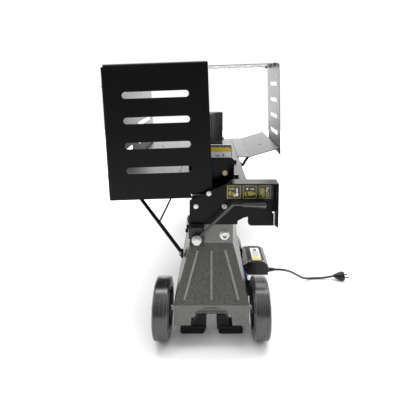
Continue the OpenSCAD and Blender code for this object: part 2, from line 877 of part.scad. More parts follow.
module hydraulic_pipes() {
    top = motor_z + 67;
    y = gear_y + 15;
    color(steel) for (x = [[motor_x - 22, 18], [motor_x + 6, 46]]) {
        bar([x[0], y, top + 4], [x[1], y, beam_low - 4], 6);
        translate([x[0], y, top]) cylinder(d = 24, h = 12, $fn = 6);
        translate([x[1], y, beam_low - 12]) cylinder(d = 24, h = 12, $fn = 6);
    }
}

module clear_of_motor(gap) {
    on_motor_axis(box_y0 - 20) cylinder(r = motor_r + gap, h = 200);
}

module switch_box() {
    wall = 3;
    len = box_y1 - box_y0;
    color(black) difference() {
        block([box_x0, box_x1], [box_y0, box_y1], [box_low, lid_low]);
        difference() {
            block([box_x0 + wall, box_x1 - wall], [box_y0 + wall, box_y1 - wall],
                [box_low + wall, lid_low + 1]);
            clear_of_motor(wall + 0.3);
        }
        clear_of_motor(0.3);
        for (y = button_ys) cyl_x([box_x1 - 6, y, button_z], 9.4, 12);
    }
}

module switch_lid() {
    color(black) difference() {
        along_y(box_y0, box_y1 - box_y0)
            polygon([[box_x0 + 2, lid_low], [box_x1, lid_low], [box_x1, lid_low + 3],
                [box_x1 - 13, lid_top], [box_x0 + 27, lid_top], [box_x0 + 11, lid_low + 3]]);
        clear_of_motor(0.3);
    }
}

module button(y) {
    cyl_x([box_x1 - 5.5, y, button_z], 9, 9.5);
}

module start_button() {
    color("green") button(button_ys[0]);
}

module stop_button() {
    color("red") button(button_ys[1]);
}

module cable_gland() {
    nut = 5;
    len = cord_points[0].x - box_x1;
    color(black) translate(cord_points[0] - [len, 0, 0]) rotate([0, 90, 0]) {
        cylinder(d = 20, h = nut, $fn = 6);
        translate([0, 0, nut]) cylinder(r1 = 8, r2 = cord_r + 1, h = len - nut);
        for (d = [9, 13, 17]) translate([0, 0, d]) cylinder(r = 8.6 - d / 9, h = 1.8);
    }
}

// ---- Valve and control lever ---------------------------------------------------------------

module valve_body() {
    color(black) difference() {
        block([-66, -22], [-511, collar_y], [292, 348]);
        cyl_x([-67, spool_y, spool_z], spool_r + 0.05, 41);
        cyl_y([pivot_x, -512, pivot_z], 5.05, 24);
        block([pivot_x - 11, pivot_x + 11], [-501, -493], [spool_z - 2.5, 349]);
    }
}

module valve_spool() {
    color(steel) difference() {
        cyl_x([-71, spool_y, spool_z], spool_r, 39);
        block([pivot_x - 5, pivot_x + 5], [spool_y - 6, spool_y + 6], [spool_z - 2, spool_z + 6]);
    }
}

module lever_rod() {
    start = [pivot_x, lever_y, pivot_z];
    end = [grip_x1 - 8, lever_y, lever_elbow.z];
    color(steel) {
        cyl_y([pivot_x, -524.5, pivot_z], 9, 13.1);
        translate([pivot_x, -523.5, pivot_z]) rotate([90, 0, 0]) hex_head(22, 8.5, 14, 1.5);
        cyl_y([pivot_x, -513, pivot_z], 5, 24);
        block([pivot_x - 2, pivot_x + 2], [-500, -494], [spool_z, pivot_z - 1]);
        bar(start, lever_elbow, lever_r);
        translate(lever_elbow) sphere(r = lever_r + 0.2);
        bar(lever_elbow, end, lever_r);
    }
}

module lever_grip() {
    color(black) difference() {
        translate([grip_x0, lever_y, lever_elbow.z]) rotate([0, 90, 0]) {
            cylinder(r1 = 7, r2 = grip_r, h = grip_x1 - grip_x0 - grip_r + 3);
            translate([0, 0, grip_x1 - grip_x0 - grip_r + 3]) sphere(r = grip_r);
        }
        cyl_x([grip_x0 - 1, lever_y, lever_elbow.z], lever_r, grip_x1 - 8 - grip_x0 + 1);
    }
}

module oil_plug() {
    color(steel) {
        translate([40, collar_y, 316]) rotate([90, 0, 0]) difference() {
            union() {
                cylinder(r = 15, h = 2);
                cylinder(r = 12, h = 11);
            }
            translate([0, 0, 4]) cylinder(d = 14, h = 8, $fn = 6);
        }
    }
}

module lever_guard() {
    front = guard_plate_y - guard_hood;
    color(black) difference() {
        union() {
            along_y(guard_plate_y, guard_plate_t) difference() {
                polygon([[-67, 350], [79, 350], [80, 361], [98, 371], [111, 374], [111, 356],
                    [114, 349], [121, guard_z0], [guard_x1, guard_z0], [guard_x1, guard_z1],
                    [60, guard_z1], [46, 477], [-67, 426]]);
                translate([guard_x1 - 6.5, 388]) circle(r = 3);
                translate([guard_x1 - 4.8, guard_z0 - 1]) square([1.7, 43]);
            }
            block([60, guard_x1], [front, guard_plate_y + 1], [guard_z1 - 3, guard_z1]);
            along_x(guard_x1 - 3, 3) polygon([[front, guard_z0 + 14], [guard_plate_y + 1, guard_z0],
                [guard_plate_y + 1, guard_z1], [front, guard_z1]]);
        }
        for (b = lever_bolt_at) cyl_y([b.x, guard_plate_y - 1, b.y], 4, 5);
    }
}

module guard_decal() {
    color("gold") block([45, 187], [guard_plate_y - 0.5, guard_plate_y], [430, 474]);
}

// ---- Mains lead ----------------------------------------------------------------------------

// A point on the smooth curve through the route's points, at a whole or part index t
function on_route(p, t) =
    let (n = len(p) - 1, i = min(floor(t), n - 1), f = t - i,
        a = p[max(i - 1, 0)], b = p[i], c = p[i + 1], d = p[min(i + 2, n)])
    0.5 * (2 * b + (c - a) * f + (2 * a - 5 * b + 4 * c - d) * f * f
        + (3 * b - a - 3 * c + d) * f * f * f);

function unit(v) = v / norm(v);

module cord() {
    n = len(cord_points) - 1;
    steps = 2 * n;
    centres = [for (k = [0 : steps]) on_route(cord_points, k * n / steps)];
    rings = [for (k = [0 : steps])
        let (ahead = centres[min(k + 1, steps)], behind = centres[max(k - 1, 0)],
            along = unit(ahead - behind), side = unit(cross(along, [0, 0, 1])), up = cross(side, along))
        for (s = [0 : cord_sides - 1])
            centres[k] + cord_r * (cos(s * 360 / cord_sides) * side + sin(s * 360 / cord_sides) * up)];
    walls = [for (k = [0 : steps - 1], s = [0 : cord_sides - 1])
        let (a = k * cord_sides + s, b = k * cord_sides + (s + 1) % cord_sides)
        each [[a, a + cord_sides, b + cord_sides], [a, b + cord_sides, b]]];
    last = steps * cord_sides;
    color(black) polyhedron(rings, concat(
        [[for (s = [0 : cord_sides - 1]) s]],
        [[for (s = [cord_sides - 1 : -1 : 0]) last + s]],
        walls));
}

module mains_plug() {
    at = cord_points[len(cord_points) - 1];
    color(black) translate(at) rotate([0, 90, 0]) {
        cylinder(r1 = 7, r2 = 16, h = 26);
        translate([0, 0, 26]) cylinder(r = at.z, h = 12);
    }
    color(steel) translate(at + [38, 0, 0]) for (s = [-1, 1])
        cyl_x([0, s * 9.5, 0], 2.4, 19);
}

main_beam();
deck_plate();
front_end_plate();
rear_end_plate();
piston_rod();
piston();
cylinder_barrel();
cylinder_gland();
pusher_block();
pusher_foot();
pusher_keeper();
pusher_bolts();
pusher_label();
oil_tank();
tank_fitting();
wedge();
left_tray();
right_tray();
deck_bolts();
tray_brackets();
front_guard_panel();
left_near_panel();
left_far_panel();
right_panel();
top_panel();
guard_bolts();
guard_strut();
front_leg();
foot_bar();
rubber_feet();
rear_leg();
axle();
axle_caps();
left_tyre();
left_rim();
right_tyre();
right_rim();
motor_bracket();
motor_housing();
fan_cover();
rotor_shaft();
cooling_fan();
pump_body();
drive_gear();
driven_gear();
hydraulic_pipes();
switch_box();
switch_lid();
start_button();
stop_button();
cable_gland();
valve_body();
valve_spool();
oil_plug();
lever_rod();
lever_grip();
lever_guard();
guard_decal();
cord();
mains_plug();
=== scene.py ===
"""Looks for the electric log splitter. Metres, in the row frame: +Y along the beam, +Z up."""

import json
import math

import bmesh
import bpy
from mathutils import Matrix, Vector


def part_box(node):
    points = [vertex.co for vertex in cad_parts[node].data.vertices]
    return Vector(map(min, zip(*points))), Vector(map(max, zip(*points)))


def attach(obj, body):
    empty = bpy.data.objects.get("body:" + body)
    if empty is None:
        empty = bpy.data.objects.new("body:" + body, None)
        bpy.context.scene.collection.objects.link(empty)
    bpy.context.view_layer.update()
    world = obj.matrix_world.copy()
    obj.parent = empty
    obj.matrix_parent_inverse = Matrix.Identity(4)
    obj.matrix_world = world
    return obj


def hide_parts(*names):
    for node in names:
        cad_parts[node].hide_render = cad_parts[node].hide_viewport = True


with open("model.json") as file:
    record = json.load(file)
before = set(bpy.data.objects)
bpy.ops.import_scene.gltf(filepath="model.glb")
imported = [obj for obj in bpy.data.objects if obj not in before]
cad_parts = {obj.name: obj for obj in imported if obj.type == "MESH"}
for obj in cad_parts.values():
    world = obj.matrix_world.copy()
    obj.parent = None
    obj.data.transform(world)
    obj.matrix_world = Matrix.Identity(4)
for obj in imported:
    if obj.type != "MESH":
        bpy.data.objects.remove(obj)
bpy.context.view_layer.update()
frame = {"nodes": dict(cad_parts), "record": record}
NODES = frame["nodes"]
MM = 0.001

# ---- Camera ----------------------------------------------------------------------------------

camera = bpy.data.objects.new("camera", bpy.data.cameras.new("camera"))
bpy.context.scene.collection.objects.link(camera)
bpy.context.scene.camera = camera
camera.location = (0, -1.515, 0.778)
camera.rotation_euler = (math.radians(90 - 6.6), 0, 0)
camera.data.sensor_width = 36
camera.data.lens = 36 * 350 / 416
camera.data.shift_x = -3.5 / 416
camera.data.shift_y = -84 / 416
camera.data.clip_start = 0.05

# ---- Helpers for shapes ----------------------------------------------------------------------


def link(name, mesh, body, material):
    """A new piece from a mesh, in place, riding on a body."""
    piece = bpy.data.objects.new(name, mesh)
    bpy.context.scene.collection.objects.link(piece)
    mesh.materials.append(material)
    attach(piece, body)
    return piece


def finish_mesh(name, bm, smooth_angle=35):
    """The mesh of a bmesh, with its normals outward and smooth across shallow angles."""
    bmesh.ops.recalc_face_normals(bm, faces=bm.faces)
    for f in bm.faces:
        f.smooth = True
    limit = math.radians(smooth_angle)
    for e in bm.edges:
        e.smooth = len(e.link_faces) == 2 and e.calc_face_angle(0) < limit
    mesh = bpy.data.meshes.new(name)
    bm.to_mesh(mesh)
    bm.free()
    return mesh


def add_plate(bm, outline, thickness, place, bevel=0.0):
    """Adds a flat plate: an outline in its own X and Y, standing on its Z, set by the matrix place."""
    low = [bm.verts.new((x, y, 0)) for x, y in outline]
    face = bm.faces.new(low)
    made = bmesh.ops.extrude_face_region(bm, geom=[face])["geom"]
    top = [v for v in made if isinstance(v, bmesh.types.BMVert)]
    bmesh.ops.translate(bm, verts=top, vec=(0, 0, thickness))
    verts = low + top
    if bevel:
        cap = [f for f in made if isinstance(f, bmesh.types.BMFace)]
        edges = [e for f in cap for e in f.edges]
        cut = bmesh.ops.bevel(bm, geom=edges, offset=bevel, segments=2, affect="EDGES")
        verts = list({v for v in verts if v.is_valid} | set(cut["verts"]))
    bmesh.ops.transform(bm, matrix=place, verts=verts)


def rounded(w, h, r, cx=0.0, cy=0.0):
    """The outline of a rectangle with rounded corners."""
    steps = 5
    points = []
    for sx, sy, start in ((1, 1, 0), (-1, 1, 90), (-1, -1, 180), (1, -1, 270)):
        for k in range(steps + 1):
            a = math.radians(start + 90 * k / steps)
            x = cx + sx * (w / 2 - r) + r * math.cos(a)
            y = cy + sy * (h / 2 - r) + r * math.sin(a)
            points.append((x, y))
    return points


def ellipse(rx, ry, cx=0.0, cy=0.0):
    """The outline of an ellipse."""
    sides = 24
    angles = [2 * math.pi * k / sides for k in range(sides)]
    return [(cx + rx * math.cos(a), cy + ry * math.sin(a)) for a in angles]


def facing(direction, at, up=(0, 0, 1)):
    """A matrix that stands local +Z along a direction, with local +Y as near up as it can be."""
    z = Vector(direction).normalized()
    x = Vector(up).cross(z)
    x = x.normalized() if x.length > 1e-6 else Vector((1, 0, 0))
    y = z.cross(x)
    return Matrix.Translation(at) @ Matrix((x, y, z)).transposed().to_4x4()


def turned(bm, profile, place, count=32):
    """Adds a solid of revolution: profile is (radius, height) pairs, closed on its axis."""
    rings = []
    for r, h in profile:
        if r < 1e-7:
            rings.append([bm.verts.new(place @ Vector((0, 0, h)))])
            continue
        ring = []
        for k in range(count):
            a = 2 * math.pi * k / count
            ring.append(bm.verts.new(place @ Vector((r * math.cos(a), r * math.sin(a), h))))
        rings.append(ring)
    for a, b in zip(rings, rings[1:]):
        for k in range(count):
            n = (k + 1) % count
            corners = [a[k % len(a)], a[n % len(a)], b[n % len(b)], b[k % len(b)]]
            unique = list(dict.fromkeys(corners))
            if len(unique) > 2:
                bm.faces.new(unique)


def weld(bm, a, b, radius=0.003):
    """Adds a weld bead between two points, a rounded rope with a ripple."""
    pitch = 0.0042
    a, b = Vector(a), Vector(b)
    length = (b - a).length
    steps = max(6, int(length / pitch) * 3)
    place = facing(b - a, a, up=(0.3, 0.5, 0.8))
    profile = [(0, 0)]
    for k in range(steps + 1):
        h = length * k / steps
        ends = min(1.0, 0.45 + 3 * min(k, steps - k) / steps)
        ripple = 0.82 + 0.18 * abs(math.sin(math.pi * h / pitch))
        profile.append((radius * ends * ripple, h))
    profile.append((0, length))
    turned(bm, profile, place, count=10)


def tube(bm, points, radius, count=12):
    """Adds a round tube through points, with closed ends."""
    points = [Vector(p) for p in points]
    rings = []
    side = None
    for i, p in enumerate(points):
        along = (points[min(i + 1, len(points) - 1)] - points[max(i - 1, 0)]).normalized()
        side = along.orthogonal() if side is None else side - along * side.dot(along)
        side.normalize()
        up = along.cross(side)
        ring = []
        for k in range(count):
            a = 2 * math.pi * k / count
            ring.append(bm.verts.new(p + radius * (math.cos(a) * side + math.sin(a) * up)))
        rings.append(ring)
    for a, b in zip(rings, rings[1:]):
        for k in range(count):
            bm.faces.new((a[k], a[(k + 1) % count], b[(k + 1) % count], b[k]))
    bm.faces.new(rings[0])
    bm.faces.new(rings[-1])


# ---- Helpers for materials -------------------------------------------------------------------


class Shader:
    """A Principled material built from nodes, in object coordinates, so in metres of the row frame."""

    def __init__(self, name, roughness, metallic=0.0, **sockets):
        self.material = bpy.data.materials.new(name)
        self.material.use_nodes = True
        self.tree = self.material.node_tree
        self.surface = self.tree.nodes["Principled BSDF"]
        self.surface.inputs["Roughness"].default_value = roughness
        self.surface.inputs["Metallic"].default_value = metallic
        for key, value in sockets.items():
            self.surface.inputs[key.replace("_", " ")].default_value = value
        self.place = self.node("ShaderNodeTexCoord").outputs["Object"]
        self.normal = None

    def node(self, kind, **inputs):
        made = self.tree.nodes.new(kind)
        for key, value in inputs.items():
            socket = made.inputs[key.replace("_", " ")]
            if isinstance(value, bpy.types.NodeSocket):
                self.tree.links.new(value, socket)
            else:
                socket.default_value = value
        return made

    def stretched(self, scale):
        """Object coordinates scaled along each axis."""
        return self.node("ShaderNodeMapping", Vector=self.place, Scale=scale).outputs["Vector"]

    def noise(self, scale, detail=3.0, rough=0.55, where=None):
        return self.node("ShaderNodeTexNoise", Vector=where or self.place, Scale=scale, Detail=detail,
                         Roughness=rough).outputs["Fac"]

    def cells(self, scale):
        made = self.node("ShaderNodeTexVoronoi", Vector=self.place, Scale=scale)
        made.feature = "SMOOTH_F1"
        return made.outputs["Distance"]

    def spread(self, value, low, high, start=0.3, end=0.7):
        """A value from start to end, mapped to low to high."""
        return self.node("ShaderNodeMapRange", Value=value, From_Min=start, From_Max=end, To_Min=low,
                         To_Max=high).outputs["Result"]

    def math(self, operation, a, b):
        made = self.tree.nodes.new("ShaderNodeMath")
        made.operation = operation
        for socket, value in zip(made.inputs, (a, b)):
            if isinstance(value, bpy.types.NodeSocket):
                self.tree.links.new(value, socket)
            else:
                socket.default_value = value
        return made.outputs["Value"]

    def mix(self, factor, a, b):
        made = self.tree.nodes.new("ShaderNodeMix")
        made.data_type = "RGBA"
        for key, value in ((0, factor), (6, a), (7, b)):
            if isinstance(value, bpy.types.NodeSocket):
                self.tree.links.new(value, made.inputs[key])
            else:
                made.inputs[key].default_value = (*value, 1) if key else value
        return made.outputs[2]

    def colour(self, socket):
        self.tree.links.new(socket, self.surface.inputs["Base Color"])

    def roughness(self, socket):
        self.tree.links.new(socket, self.surface.inputs["Roughness"])

    def soften(self, radius):
        """Rounds the look of sharp edges, and gives a mask that is 1 on them."""
        bevel = self.node("ShaderNodeBevel", Radius=radius)
        bevel.samples = 4
        self.normal = bevel.outputs["Normal"]
        flat = self.node("ShaderNodeNewGeometry").outputs["Normal"]
        dot = self.tree.nodes.new("ShaderNodeVectorMath")
        dot.operation = "DOT_PRODUCT"
        self.tree.links.new(self.normal, dot.inputs[0])
        self.tree.links.new(flat, dot.inputs[1])
        return self.spread(dot.outputs["Value"], 1.0, 0.0, 0.72, 0.995)

    def bump(self, height, strength, distance):
        made = self.node("ShaderNodeBump", Height=height, Strength=strength, Distance=distance)
        if self.normal:
            self.tree.links.new(self.normal, made.inputs["Normal"])
        self.normal = made.outputs["Normal"]
        self.tree.links.new(self.normal, self.surface.inputs["Normal"])


def painted(name, base, rough, grain=900.0, depth=0.00012, coat=0.0, specular=0.5):
    """Powder coat or paint: uneven colour, a fine orange peel, and edges paler in patches, a painted
    highlight.
    """
    tint, edge_highlight_amount, edge_radius = 0.18, 0.2, 0.0009
    s = Shader(name, rough, Coat_Weight=coat, Coat_Roughness=0.22, Specular_IOR_Level=specular)
    dark = [c * (1 - tint) for c in base]
    pale = [min(1.0, c * (1 + tint)) for c in base]
    mask = s.soften(edge_radius)
    body = s.mix(s.spread(s.noise(9.0), 0.0, 1.0), dark, pale)
    # Paler patches along the edges: a painted edge highlight.
    edge_highlight = s.math("MULTIPLY", mask, s.spread(s.noise(160.0), 0.0, edge_highlight_amount, 0.35, 0.7))
    s.colour(s.mix(edge_highlight, body, [min(1.0, c * 3 + 0.05) for c in base]))
    s.roughness(s.spread(s.noise(55.0, 5.0), rough - 0.02, rough + 0.04))
    s.bump(s.noise(grain, 2.0), 0.4, depth)
    return s.material


def hammered(name, base, contrast=1.0):
    """Hammered paint: small veins and dimples in two tones, glossier than the powder coat."""
    s = Shader(name, 0.32, metallic=0.6)
    mask = s.soften(0.0012)
    vein = s.noise(330.0, 3.0, 0.65)
    pale = [c * (1 + 0.42 * contrast) for c in base]
    dark = [c * (1 - 0.36 * contrast) for c in base]
    body = s.mix(s.spread(vein, 0.0, 1.0, 0.38, 0.62), dark, pale)
    blotch = s.mix(s.spread(s.noise(14.0), 0.0, 0.25), body, [c * 0.7 for c in base])
    # Edges are paler: a painted highlight along them.
    s.colour(s.mix(s.math("MULTIPLY", mask, 0.4), blotch, [min(1.0, c * 2.4) for c in base]))
    s.roughness(s.spread(s.noise(140.0), 0.27, 0.38))
    s.bump(vein, 0.35, 0.0005)
    return s.material


def machined(name, base, rough, metallic=1.0, marks=0.35):
    """Bare metal with a fine, even tool texture and faint stains."""
    s = Shader(name, rough, metallic)
    s.soften(0.0006)
    lines = s.noise(900.0, 4.0, 0.6)
    stain = s.noise(28.0, 4.0)
    s.colour(s.mix(s.spread(stain, 0.0, 0.5), base, [c * 0.6 for c in base]))
    s.roughness(s.spread(lines, max(0.03, rough - 0.09), rough + 0.12))
    s.bump(lines, marks, 0.00008)
    return s.material


def moulded(name, base, rough, grain=1500.0, depth=0.00008, specular=0.35):
    """Moulded plastic or rubber with a fine spark grain."""
    tint, edge_radius = 0.12, 0.0006
    s = Shader(name, rough, Specular_IOR_Level=specular)
    dark = [c * (1 - tint) for c in base]
    pale = [c * (1 + tint) for c in base]
    mask = s.soften(edge_radius)
    body = s.mix(s.spread(s.noise(22.0), 0.0, 1.0), dark, pale)
    # Edges are paler: a painted highlight along them.
    s.colour(s.mix(s.math("MULTIPLY", mask, 0.3), body, [min(1.0, c * 1.9 + 0.015) for c in base]))
    s.roughness(s.spread(s.noise(70.0, 4.0), rough - 0.07, rough + 0.08))
    s.bump(s.cells(grain), 0.5, depth)
    return s.material


def tyre_rubber():
    """Glossy rubber: paler and darker bands round the tread, a painted shade for its grooves, with fine
    scuffs and dust.
    """
    s = Shader("tyre_rubber", 0.22, Specular_IOR_Level=1.0)
    s.soften(0.0006)
    scuff = s.noise(260.0, 5.0, 0.6, s.stretched((1.0, 0.06, 0.06)))
    rings = s.noise(150.0, 2.0, 0.5, s.stretched((1.0, 0.01, 0.01)))
    body = s.mix(s.spread(scuff, 0.0, 1.0), [0.004, 0.004, 0.0045], [0.014, 0.014, 0.015])
    # Paler bands round the tread against the dark body: painted shade that marks the grooves.
    groove_shaded = s.mix(s.spread(rings, 0.0, 0.7, 0.42, 0.6), body, [0.04, 0.04, 0.042])
    s.colour(s.mix(s.spread(s.noise(34.0, 5.0), 0.0, 0.2), groove_shaded, [0.045, 0.045, 0.045]))
    s.roughness(s.spread(scuff, 0.17, 0.28))
    s.bump(scuff, 0.4, 0.0002)
    return s.material


def streaked(name):
    """The wedge's black paint, with rubbed streaks that run up and down."""
    s = Shader(name, 0.5, Specular_IOR_Level=0.08)
    mask = s.soften(0.0012)
    streak = s.noise(150.0, 5.0, 0.65, s.stretched((1.0, 1.0, 0.04)))
    body = s.mix(s.spread(streak, 0.0, 1.0, 0.4, 0.66), [0.009, 0.009, 0.01], [0.06, 0.06, 0.06])
    # Edges are paler: a painted highlight along them.
    s.colour(s.mix(s.math("MULTIPLY", mask, 0.3), body, [0.18, 0.18, 0.18]))
    s.roughness(s.spread(streak, 0.42, 0.62))
    s.bump(streak, 0.4, 0.0003)
    return s.material


def film(name, base):
    """Printed film: even colour with the faint mottle of ink and a slight ripple."""
    rough = 0.35
    s = Shader(name, rough, Coat_Weight=0.3, Coat_Roughness=0.15)
    s.colour(s.mix(s.spread(s.noise(180.0), 0.0, 0.35), base, [c * 0.8 for c in base]))
    s.roughness(s.spread(s.noise(60.0), rough - 0.08, rough + 0.1))
    s.bump(s.noise(420.0), 0.2, 0.00005)
    return s.material


MATERIALS = {
    "black_powder": painted("black_powder", [0.0035, 0.0034, 0.003], 0.3, specular=0.14),
    "black_paint": painted("black_paint", [0.003, 0.003, 0.003], 0.22, grain=500.0, depth=0.0002,
                           specular=0.16),
    "hammered_grey": hammered("hammered_grey", [0.138, 0.137, 0.125]),
    "bare_steel": machined("bare_steel", [0.42, 0.42, 0.43], 0.34),
    "chromed_steel": machined("chromed_steel", [0.66, 0.66, 0.68], 0.12, marks=0.12),
    "zinc_plate": machined("zinc_plate", [0.6, 0.61, 0.6], 0.3),
    "brass": machined("brass", [0.72, 0.62, 0.4], 0.28),
    "tyre_rubber": tyre_rubber(),
    "rim_plastic": moulded("rim_plastic", [0.05, 0.05, 0.053], 0.42),
    "foot_rubber": moulded("foot_rubber", [0.008, 0.008, 0.008], 0.6, grain=900.0, depth=0.0002),
    "motor_blue": painted("motor_blue", [0.018, 0.055, 0.19], 0.36, grain=600.0, depth=0.0002, coat=0.2),
    "cast_aluminium": machined("cast_aluminium", [0.5, 0.5, 0.51], 0.45, marks=0.8),
    "cast_iron_black": painted("cast_iron_black", [0.008, 0.008, 0.008], 0.45, grain=380.0, depth=0.0005),
    "black_plastic": moulded("black_plastic", [0.006, 0.006, 0.0062], 0.26),
    "green_plastic": moulded("green_plastic", [0.02, 0.3, 0.07], 0.22),
    "red_plastic": moulded("red_plastic", [0.5, 0.02, 0.02], 0.22),
    "label_film": film("label_film", [0.93, 0.93, 0.91]),
    "decal_film": film("decal_film", [0.006, 0.006, 0.006]),
    "cord_pvc": moulded("cord_pvc", [0.025, 0.025, 0.026], 0.45, grain=1200.0),
}
YELLOW = film("yellow_ink", [0.86, 0.64, 0.03])
GOLD = film("gold_ink", [0.4, 0.32, 0.012])
WHITE = film("white_ink", [0.85, 0.85, 0.82])
BLUE = film("blue_ink", [0.12, 0.3, 0.62])
WELD = machined("weld_black", [0.05, 0.05, 0.052], 0.4, metallic=0.3, marks=0.9)
WEDGE = streaked("wedge_paint")
LEVER = painted("lever_paint", [0.004, 0.004, 0.004], 0.14, depth=0.00005, specular=1.0)
GRIP = moulded("grip_plastic", [0.008, 0.008, 0.008], 0.17, depth=0.00003, specular=1.0)
OWN_LOOK = {"wedge": WEDGE, "lever_rod": LEVER, "lever_grip": GRIP}

for part in frame["record"]["subparts"]:
    mesh = NODES[part["node"]].data
    mesh.materials.clear()
    mesh.materials.append(OWN_LOOK.get(part["node"], MATERIALS[part["material_slot"]]))

# ---- Mains lead ------------------------------------------------------------------------------

CORD_D = 0.008
CORD_POINTS = [
    (231, -300, 100), (245, -299.2, 99.3), (259, -295.5, 96.2), (273, -288.5, 90.4), (287, -278.5, 82),
    (301, -266, 71), (316, -252.5, 57.5), (332, -238, 42), (348, -224, 27), (365, -211.5, 15),
    (383, -201.5, 7.6), (402, -195, 4.6), (421, -193, 4.2), (440, -194, 5.6), (457, -196.5, 9),
    (472, -198.5, 13), (487, -200, 17)]


def on_route(points, t):
    """A point on the Catmull-Rom curve through points, at a whole or part index."""
    n = len(points) - 1
    i = min(int(t), n - 1)
    f = t - i
    a, b, c, d = (Vector(points[k]) for k in (max(i - 1, 0), i, i + 1, min(i + 2, n)))
    square = (2 * a - 5 * b + 4 * c - d) * f * f
    cube = (3 * b - a - 3 * c + d) * f ** 3
    return 0.5 * (2 * b + (c - a) * f + square + cube)


route = [on_route(CORD_POINTS, k / 4) * MM for k in range(4 * (len(CORD_POINTS) - 1) + 1)]
line = bpy.data.curves.new("mains_lead", "CURVE")
line.dimensions = "3D"
line.bevel_depth = CORD_D / 2
line.bevel_resolution = 6
line.use_fill_caps = True
spline = line.splines.new("POLY")
spline.points.add(len(route) - 1)
for point, p in zip(spline.points, route):
    point.co = (*p, 1)
lead = bpy.data.objects.new("mains_lead", line)
bpy.context.scene.collection.objects.link(lead)
line.materials.append(MATERIALS["cord_pvc"])
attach(lead, "frame")
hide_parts("cord")

# ---- Printed labels --------------------------------------------------------------------------

INK = 0.0002


def print_on(name, body, material, place, shapes):
    """A piece made of thin printed shapes, outlined in millimetres, that share one colour."""
    bm = bmesh.new()
    for outline in shapes:
        add_plate(bm, [(x * MM, y * MM) for x, y in outline], INK, place)
    return link(name, finish_mesh(name, bm), body, material)


def arrow(x, y, length, width):
    """An outline of an arrow that points along +X."""
    head = width
    return [(x, y - width / 4), (x + length - head, y - width / 4), (x + length - head, y - width / 2),
            (x + length, y), (x + length - head, y + width / 2), (x + length - head, y + width / 4),
            (x, y + width / 4)]


def wedge_mark(x, y, w, h):
    """An outline of a wedge that points along +X."""
    return [(x, y), (x + w, y + h / 2), (x, y + h)]


# Pusher label: yellow band on top, small marks on the white below. Local +Y is up, in millimetres.
lo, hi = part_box("pusher_label")
label = facing((0, -1, 0), (0, lo.y, (lo.z + hi.z) / 2))
half_w, half_h = (hi.x - lo.x) * 500, (hi.z - lo.z) * 500
print_on("label_band", "ram", YELLOW, label,
         [rounded(2 * half_w - 1, 13, 1, 0, half_h - 7)])
print_on("label_marks", "ram", BLUE, label,
         [rounded(16, 5, 2, -28, 14), rounded(9, 3, 1.2, -6, 10), arrow(14, 14, 18, 8),
          rounded(22, 2, 0.8, 24, 5), rounded(14, 2, 0.8, -24, 0), ellipse(4, 4, 44, 16),
          rounded(12, 2, 0.8, 44, 2)])
print_on("label_rule", "ram", MATERIALS["decal_film"], label,
         [rounded(2 * half_w - 12, 1.2, 0.4, 0, -half_h + 6), rounded(30, 1.2, 0.4, -40, -half_h + 12),
          rounded(24, 1.2, 0.4, 30, -half_h + 12)])

# Lever guard decal: three plain pictograms of a log, a wedge and arrows
lo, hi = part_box("guard_decal")
decal = facing((0, -1, 0), ((lo.x + hi.x) / 2, lo.y, (lo.z + hi.z) / 2))
yellow, white = [], []
for cx, kind in ((-48, 0), (0, 1), (46, 2)):
    w = 40 if kind < 2 else 34
    for dy in (-19, 19):
        yellow.append(rounded(w, 1.6, 0.6, cx, dy))
    for dx in (-w / 2 + 0.8, w / 2 - 0.8):
        yellow.append(rounded(1.6, 36, 0.6, cx + dx, 0))
    if kind == 0:
        yellow += [ellipse(5, 7, cx - 11, -4), rounded(12, 9, 2, cx - 4, -6), arrow(cx - 16, 10, 20, 8)]
        white += [ellipse(4.5, 5.5, cx + 9, -8), rounded(4, 14, 1.5, cx + 9, 5), ellipse(4, 4, cx + 2, -10)]
    elif kind == 1:
        yellow += [rounded(24, 12, 3, cx + 1, -5), ellipse(5, 7, cx - 11, -6),
                   wedge_mark(cx + 12, -11, 7, 12)]
        white += [ellipse(3, 3, cx - 8, 10), arrow(cx + 2, 9, 12, 5)]
    else:
        yellow += [rounded(12, 22, 3, cx - 8, 1), rounded(8, 8, 2, cx - 6, -12), ellipse(5, 5, cx + 7, -10)]
        white += [rounded(4, 20, 1.8, cx + 5, 3), rounded(9, 4, 1.6, cx + 7, 12), ellipse(4, 5, cx + 6, -5)]
print_on("decal_yellow", "frame", GOLD, decal, yellow)
print_on("decal_white", "frame", WHITE, decal, white)

# Switch box label on the lid's flat top. Local +Y runs along the beam.
BOX_SIDE, BOX_MID_Y, BOX_TOP = 0.205, -0.25, 0.135
lid = facing((0, 0, 1), (0.167, BOX_MID_Y, BOX_TOP), up=(0, 1, 0))
on_label = Matrix.Translation((0, 0, INK)) @ lid
print_on("lid_label", "frame", WHITE, lid, [rounded(34, 96, 1.5, 0, 0)])
print_on("lid_label_band", "frame", YELLOW, on_label, [rounded(32, 16, 1, 0, -38)])
lid_marks = [rounded(24, 1.4, 0.5, -1, y) for y in (-20, -12, -4, 4, 12)]
lid_marks += [ellipse(6, 6, 0, 32), rounded(14, 4, 1, 0, 22)]
print_on("lid_label_marks", "frame", MATERIALS["decal_film"], on_label, lid_marks)

# ---- Welds -----------------------------------------------------------------------------------

